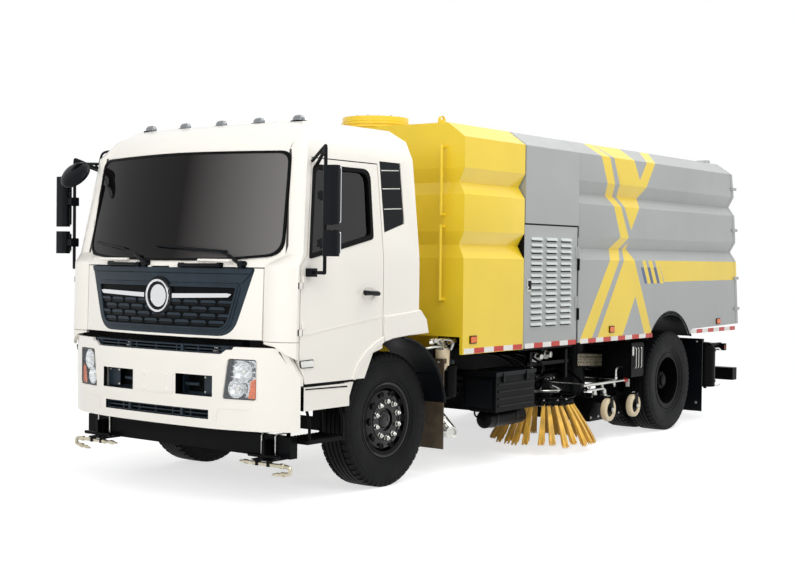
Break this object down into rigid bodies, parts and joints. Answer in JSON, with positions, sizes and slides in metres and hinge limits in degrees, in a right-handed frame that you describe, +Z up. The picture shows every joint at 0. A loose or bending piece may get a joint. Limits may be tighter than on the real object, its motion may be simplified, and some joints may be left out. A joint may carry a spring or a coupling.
{
  "type": "street_sweeper_truck",
  "caption": "Washer and sweeper truck with tilting cab, wash-water tank, engine bay, tipping debris tank, gutter brooms and suction head.",
  "frame": {"origin": "middle of the truck's bounding box on the ground", "axes": "+X forward, +Y to the truck's left, +Z up"},
  "size_m": [8.1163, 3.004, 3.03],
  "materials": {
    "white_paint": "clear gloss paint",
    "yellow_paint": "gloss paint",
    "grey_paint": "semi gloss paint",
    "chassis_black": "satin paint",
    "black_plastic": "grained",
    "bright_steel": "brushed",
    "tyre_rubber": "worn black",
    "clear_glass": "tinted clear",
    "lamp_glass": "clear lens",
    "interior_grey": "woven",
    "orange_bristle": "stiff bristle",
    "cream_plastic": "smooth",
    "engine_iron": "cast",
    "amber_plastic": "translucent"
  },
  "bodies": {
    "chassis": {"frame": "chassis_black", "axles": "chassis_black", "engine": "engine_iron", "bumper": "white_paint", "headlights": "lamp_glass", "bumper_grilles": "black_plastic", "wash_beam": "chassis_black", "steps": "white_paint", "mudguards": "black_plastic", "battery_box": "black_plastic", "fuel_tank": "bright_steel", "exhaust": "bright_steel", "side_locker": "chassis_black", "water_tank": "yellow_paint", "bay_frame": "chassis_black", "auxiliary_engine": "engine_iron", "suction_ducts": "black_plastic", "spray_bars": "bright_steel", "rear_beam": "chassis_black", "water_filters": "black_plastic"},
    "cab": {"cab_shell": "white_paint", "windscreen": "clear_glass", "roof_lamps": "amber_plastic", "cab_interior": "interior_grey"},
    "flap": {"front_panel": "white_paint"},
    "left_door": {"door_left": "white_paint", "mirror_left": "black_plastic"},
    "right_door": {"door_right": "white_paint", "mirror_right": "black_plastic"},
    "left_knuckle": {"knuckle_left": "chassis_black"},
    "right_knuckle": {"knuckle_right": "chassis_black"},
    "left_front_wheel": {"front_tyre_left": "tyre_rubber", "front_rim_left": "chassis_black"},
    "right_front_wheel": {"front_tyre_right": "tyre_rubber", "front_rim_right": "chassis_black"},
    "left_rear_wheels": {"rear_tyres_left": "tyre_rubber", "rear_rims_left": "chassis_black"},
    "right_rear_wheels": {"rear_tyres_right": "tyre_rubber", "rear_rims_right": "chassis_black"},
    "left_engine_door": {"engine_door_left": "grey_paint"},
    "right_engine_door": {"engine_door_right": "grey_paint"},
    "waste_tank": {"debris_tank": "grey_paint", "tank_nose": "grey_paint"},
    "rear_gate": {"tailgate": "grey_paint"},
    "left_arm": {"broom_arm_left": "bright_steel"},
    "right_arm": {"broom_arm_right": "bright_steel"},
    "left_broom": {"broom_left": "orange_bristle"},
    "right_broom": {"broom_right": "orange_bristle"},
    "manhole_lid": {"hatch_lid": "yellow_paint"},
    "pickup_head": {"suction_head": "chassis_black"},
    "left_front_caster": {"caster_front_left": "cream_plastic"},
    "right_front_caster": {"caster_front_right": "cream_plastic"},
    "left_rear_caster": {"caster_rear_left": "cream_plastic"},
    "right_rear_caster": {"caster_rear_right": "cream_plastic"},
    "tilt_barrel": {"cab_ram_barrel": "chassis_black"},
    "tilt_rod": {"cab_ram_rod": "bright_steel"},
    "lift_barrels": {"hoist_barrels": "chassis_black"},
    "lift_rods": {"hoist_rods": "bright_steel"}
  },
  "joints": [
    {"name": "steer_left", "type": "hinge", "parent": "chassis", "child": "left_knuckle", "pos_m": [2.6275, 0.85, 0.525], "axis": [0, 0, 1], "range_deg": [-35, 35]},
    {"name": "steer_right", "type": "hinge", "parent": "chassis", "child": "right_knuckle", "pos_m": [2.6275, -0.85, 0.525], "axis": [0, 0, 1], "range_deg": [-35, 35]},
    {"name": "roll_front_left", "type": "hinge", "parent": "left_knuckle", "child": "left_front_wheel", "pos_m": [2.6275, 0.95, 0.525], "axis": [0, 1, 0], "continuous": true},
    {"name": "roll_front_right", "type": "hinge", "parent": "right_knuckle", "child": "right_front_wheel", "pos_m": [2.6275, -0.95, 0.525], "axis": [0, 1, 0], "continuous": true},
    {"name": "roll_rear_left", "type": "hinge", "parent": "chassis", "child": "left_rear_wheels", "pos_m": [-2.0725, 0.918, 0.525], "axis": [0, 1, 0], "continuous": true},
    {"name": "roll_rear_right", "type": "hinge", "parent": "chassis", "child": "right_rear_wheels", "pos_m": [-2.0725, -0.918, 0.525], "axis": [0, 1, 0], "continuous": true},
    {"name": "cab_tilt", "type": "hinge", "parent": "chassis", "child": "cab", "pos_m": [3.8975, 0, 1.02], "axis": [0, 1, 0], "range_deg": [0, 45]},
    {"name": "front_flap", "type": "hinge", "parent": "cab", "child": "flap", "pos_m": [4.0035, 0, 1.703], "axis": [0, -1, 0], "range_deg": [0, 70]},
    {"name": "door_left_swing", "type": "hinge", "parent": "cab", "child": "left_door", "pos_m": [3.7775, 1.209, 1.7], "axis": [0, 0, -1], "range_deg": [0, 70]},
    {"name": "door_right_swing", "type": "hinge", "parent": "cab", "child": "right_door", "pos_m": [3.7775, -1.209, 1.7], "axis": [0, 0, 1], "range_deg": [0, 70]},
    {"name": "bay_door_left", "type": "hinge", "parent": "chassis", "child": "left_engine_door", "pos_m": [-0.0385, 1.258, 1.55], "axis": [0, 0, 1], "range_deg": [0, 100]},
    {"name": "bay_door_right", "type": "hinge", "parent": "chassis", "child": "right_engine_door", "pos_m": [-0.0385, -1.258, 1.55], "axis": [0, 0, -1], "range_deg": [0, 100]},
    {"name": "tank_tip", "type": "hinge", "parent": "chassis", "child": "waste_tank", "pos_m": [-3.5725, 0, 1.02], "axis": [0, -1, 0], "range_deg": [0, 45]},
    {"name": "gate_swing", "type": "hinge", "parent": "waste_tank", "child": "rear_gate", "pos_m": [-3.4875, 0, 2.935], "axis": [0, 1, 0], "range_deg": [0, 80]},
    {"name": "arm_left_swing", "type": "hinge", "parent": "chassis", "child": "left_arm", "pos_m": [0.8775, 0.505, 0.6], "axis": [0, 0, -1], "range_deg": [0, 15]},
    {"name": "arm_right_swing", "type": "hinge", "parent": "chassis", "child": "right_arm", "pos_m": [0.8775, -0.505, 0.6], "axis": [0, 0, 1], "range_deg": [0, 15]},
    {"name": "brush_left_spin", "type": "hinge", "parent": "left_arm", "child": "left_broom", "pos_m": [-0.0225, 0.905, 0.445], "axis": [0, 0, 1], "continuous": true},
    {"name": "brush_right_spin", "type": "hinge", "parent": "right_arm", "child": "right_broom", "pos_m": [-0.0225, -0.905, 0.445], "axis": [0, 0, 1], "continuous": true},
    {"name": "manhole", "type": "hinge", "parent": "chassis", "child": "manhole_lid", "pos_m": [1.0975, 0, 3], "axis": [0, -1, 0], "range_deg": [0, 100]},
    {"name": "head_lift", "type": "slide", "parent": "chassis", "child": "pickup_head", "axis": [0, 0, 1], "range_m": [-0.19, 0]},
    {"name": "caster_fl", "type": "hinge", "parent": "pickup_head", "child": "left_front_caster", "pos_m": [-0.8475, 1.16, 0.316], "axis": [0, 1, 0], "continuous": true},
    {"name": "caster_fr", "type": "hinge", "parent": "pickup_head", "child": "right_front_caster", "pos_m": [-0.8475, -1.16, 0.316], "axis": [0, 1, 0], "continuous": true},
    {"name": "caster_rl", "type": "hinge", "parent": "pickup_head", "child": "left_rear_caster", "pos_m": [-1.3825, 1.16, 0.316], "axis": [0, 1, 0], "continuous": true},
    {"name": "caster_rr", "type": "hinge", "parent": "pickup_head", "child": "right_rear_caster", "pos_m": [-1.3825, -1.16, 0.316], "axis": [0, 1, 0], "continuous": true},
    {"name": "tilt_barrel_turn", "type": "hinge", "parent": "chassis", "child": "tilt_barrel", "pos_m": [3.2875, -0.62, 0.74], "axis": [0, 1, 0], "range_deg": [0, 7]},
    {"name": "tilt_rod_slide", "type": "slide", "parent": "tilt_barrel", "child": "tilt_rod", "axis": [0.4205, 0, 0.9073], "range_m": [0, 0.335]},
    {"name": "lift_barrel_turn", "type": "hinge", "parent": "chassis", "child": "lift_barrels", "pos_m": [-1.5725, 0, 0.72], "axis": [0, -1, 0], "range_deg": [-12, 0]},
    {"name": "lift_rod_slide", "type": "slide", "parent": "lift_barrels", "child": "lift_rods", "axis": [-0.915, 0, 0.4034], "range_m": [0, 0.64]}
  ],
  "couplings": [
    {"joint": "steer_right", "follows": "steer_left", "ratio": 1},
    {"joint": "tilt_barrel_turn", "follows": "cab_tilt", "ratio": 0.1407},
    {"joint": "tilt_rod_slide", "follows": "cab_tilt", "m_per_rad": 0.42017},
    {"joint": "lift_barrel_turn", "follows": "tank_tip", "ratio": -0.26},
    {"joint": "lift_rod_slide", "follows": "tank_tip", "m_per_rad": 0.80723}
  ]
}
